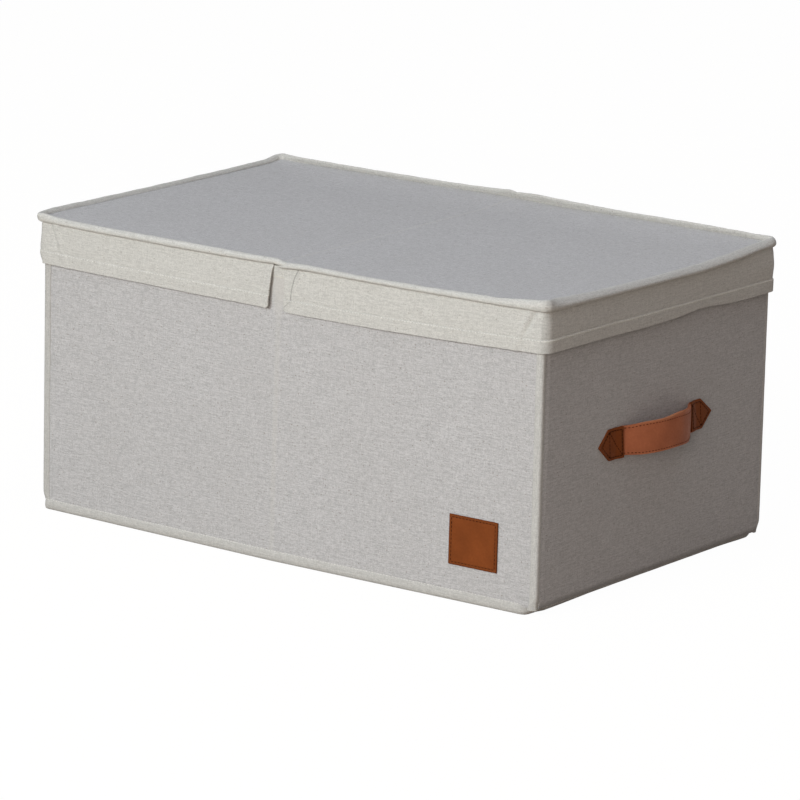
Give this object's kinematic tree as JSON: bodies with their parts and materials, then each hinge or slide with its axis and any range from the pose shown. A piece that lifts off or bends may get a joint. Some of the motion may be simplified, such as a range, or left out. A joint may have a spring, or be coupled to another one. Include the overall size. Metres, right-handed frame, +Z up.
{
  "type": "lidded fabric storage box",
  "caption": "Rectangular canvas storage box with stiff walls, a lift-off lid that folds at its middle, a leather strap on each end and a loose floor panel.",
  "frame": {"origin": "centre of the underside, on the surface the box stands on", "axes": "+X along the length of the front, -Y is the front, +Z up"},
  "size_m": [0.642, 0.3906, 0.2983],
  "materials": {
    "grey_canvas": "light grey slubby linen-cotton canvas with small dark flecks",
    "cream_canvas": "plain cream cotton canvas, used for the bindings, welts and lid skirt",
    "inner_fabric": "thin off-white lining fabric",
    "pressed_board": "grey-brown pressed stiffening board",
    "strap_leather": "smooth tan-brown strap leather with a stitched line along each edge",
    "patch_leather": "smooth brown leather, stitched round the edge"
  },
  "bodies": {
    "box": {"base_binding": "cream_canvas", "base_cover": "cream_canvas", "base_board_left": "pressed_board", "base_board_right": "pressed_board", "front_board_left": "pressed_board", "front_board_right": "pressed_board", "back_board_left": "pressed_board", "back_board_right": "pressed_board", "left_end_board": "pressed_board", "right_end_board": "pressed_board", "front_cover": "grey_canvas", "back_cover": "grey_canvas", "left_end_cover": "grey_canvas", "right_end_cover": "grey_canvas", "corner_welt_front_left": "cream_canvas", "corner_welt_front_right": "cream_canvas", "corner_welt_back_left": "cream_canvas", "corner_welt_back_right": "cream_canvas", "lining": "inner_fabric", "rim_binding": "cream_canvas", "label_patch": "patch_leather", "left_handle_tab_front": "patch_leather", "left_handle_tab_back": "patch_leather", "left_handle_strap_ends": "strap_leather", "right_handle_tab_front": "patch_leather", "right_handle_tab_back": "patch_leather", "right_handle_strap_ends": "strap_leather"},
    "floor_panel": {"floor_panel_board": "pressed_board", "floor_panel_cover": "inner_fabric"},
    "left_handle": {"left_handle_strap": "strap_leather"},
    "right_handle": {"right_handle_strap": "strap_leather"},
    "lid_middle": {"lid_centre_strip": "grey_canvas"},
    "lid_left": {"lid_left_board": "pressed_board", "lid_left_top": "grey_canvas", "lid_left_lining": "inner_fabric", "lid_left_piping": "cream_canvas", "lid_left_skirt_front": "cream_canvas", "lid_left_skirt_end": "cream_canvas", "lid_left_skirt_back": "cream_canvas"},
    "lid_right": {"lid_right_board": "pressed_board", "lid_right_top": "grey_canvas", "lid_right_lining": "inner_fabric", "lid_right_piping": "cream_canvas", "lid_right_skirt_front": "cream_canvas", "lid_right_skirt_end": "cream_canvas", "lid_right_skirt_back": "cream_canvas"}
  },
  "joints": [
    {"name": "lid_lift", "type": "slide", "parent": "box", "child": "lid_middle", "axis": [0, 0, 1], "range_m": [0, 0.12]},
    {"name": "lid_left_fold", "type": "hinge", "parent": "lid_middle", "child": "lid_left", "pos_m": [-0.006, 0, 0.2949], "axis": [0, 1, 0], "range_deg": [0, 90]},
    {"name": "lid_right_fold", "type": "hinge", "parent": "lid_middle", "child": "lid_right", "pos_m": [0.006, 0, 0.2949], "axis": [0, -1, 0], "range_deg": [0, 90]},
    {"name": "floor_panel_lift", "type": "slide", "parent": "box", "child": "floor_panel", "axis": [0, 0, 1], "range_m": [0, 0.27]},
    {"name": "left_handle_tilt", "type": "hinge", "parent": "box", "child": "left_handle", "pos_m": [-0.302, 0, 0.146], "axis": [0, 1, 0], "range_deg": [-20, 25], "stiffness_Nm_per_rad": 0.05},
    {"name": "right_handle_tilt", "type": "hinge", "parent": "box", "child": "right_handle", "pos_m": [0.302, 0, 0.146], "axis": [0, -1, 0], "range_deg": [-20, 25], "stiffness_Nm_per_rad": 0.05}
  ]
}
